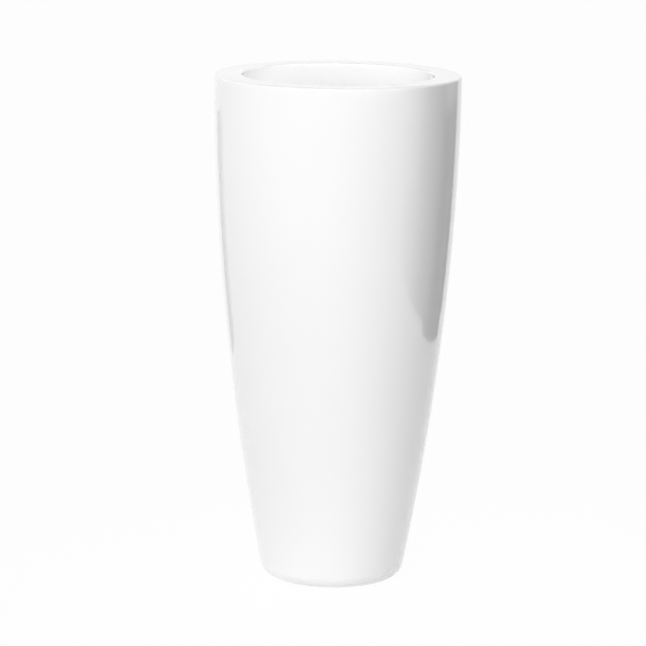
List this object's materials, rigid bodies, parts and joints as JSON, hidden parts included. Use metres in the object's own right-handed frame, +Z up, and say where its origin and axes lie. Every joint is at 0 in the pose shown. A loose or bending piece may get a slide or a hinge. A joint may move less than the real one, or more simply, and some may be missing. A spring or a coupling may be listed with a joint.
{
  "type": "planter",
  "caption": "Tall tapered round floor planter with a wide flat rim, a lift-out inner shelf, a drain plug and rubber foot pads.",
  "frame": {"origin": "on the surface it stands on, under the planter's vertical axis", "axes": "+Z up along the planter's axis; -Y is the side the picture looks at; the shelf's two finger holes lie along X"},
  "size_m": [0.385, 0.385, 0.8],
  "materials": {
    "white_lacquer": "polished",
    "raw_laminate": "satin",
    "black_rubber": "matte"
  },
  "bodies": {
    "planter": {"body_shell": "white_lacquer", "top_rim": "white_lacquer", "shelf_ledge_1": "raw_laminate", "shelf_ledge_2": "raw_laminate", "shelf_ledge_3": "raw_laminate", "shelf_ledge_4": "raw_laminate", "foot_pad_1": "black_rubber", "foot_pad_2": "black_rubber", "foot_pad_3": "black_rubber", "foot_pad_4": "black_rubber"},
    "shelf": {"inner_shelf": "raw_laminate"},
    "plug": {"drain_plug": "black_rubber"}
  },
  "joints": [
    {"name": "shelf_lift", "type": "slide", "parent": "planter", "child": "shelf", "axis": [0, 0, 1], "range_m": [0, 0.58]},
    {"name": "plug_pull", "type": "slide", "parent": "planter", "child": "plug", "axis": [0, 0, -1], "range_m": [0, 0.03]}
  ]
}
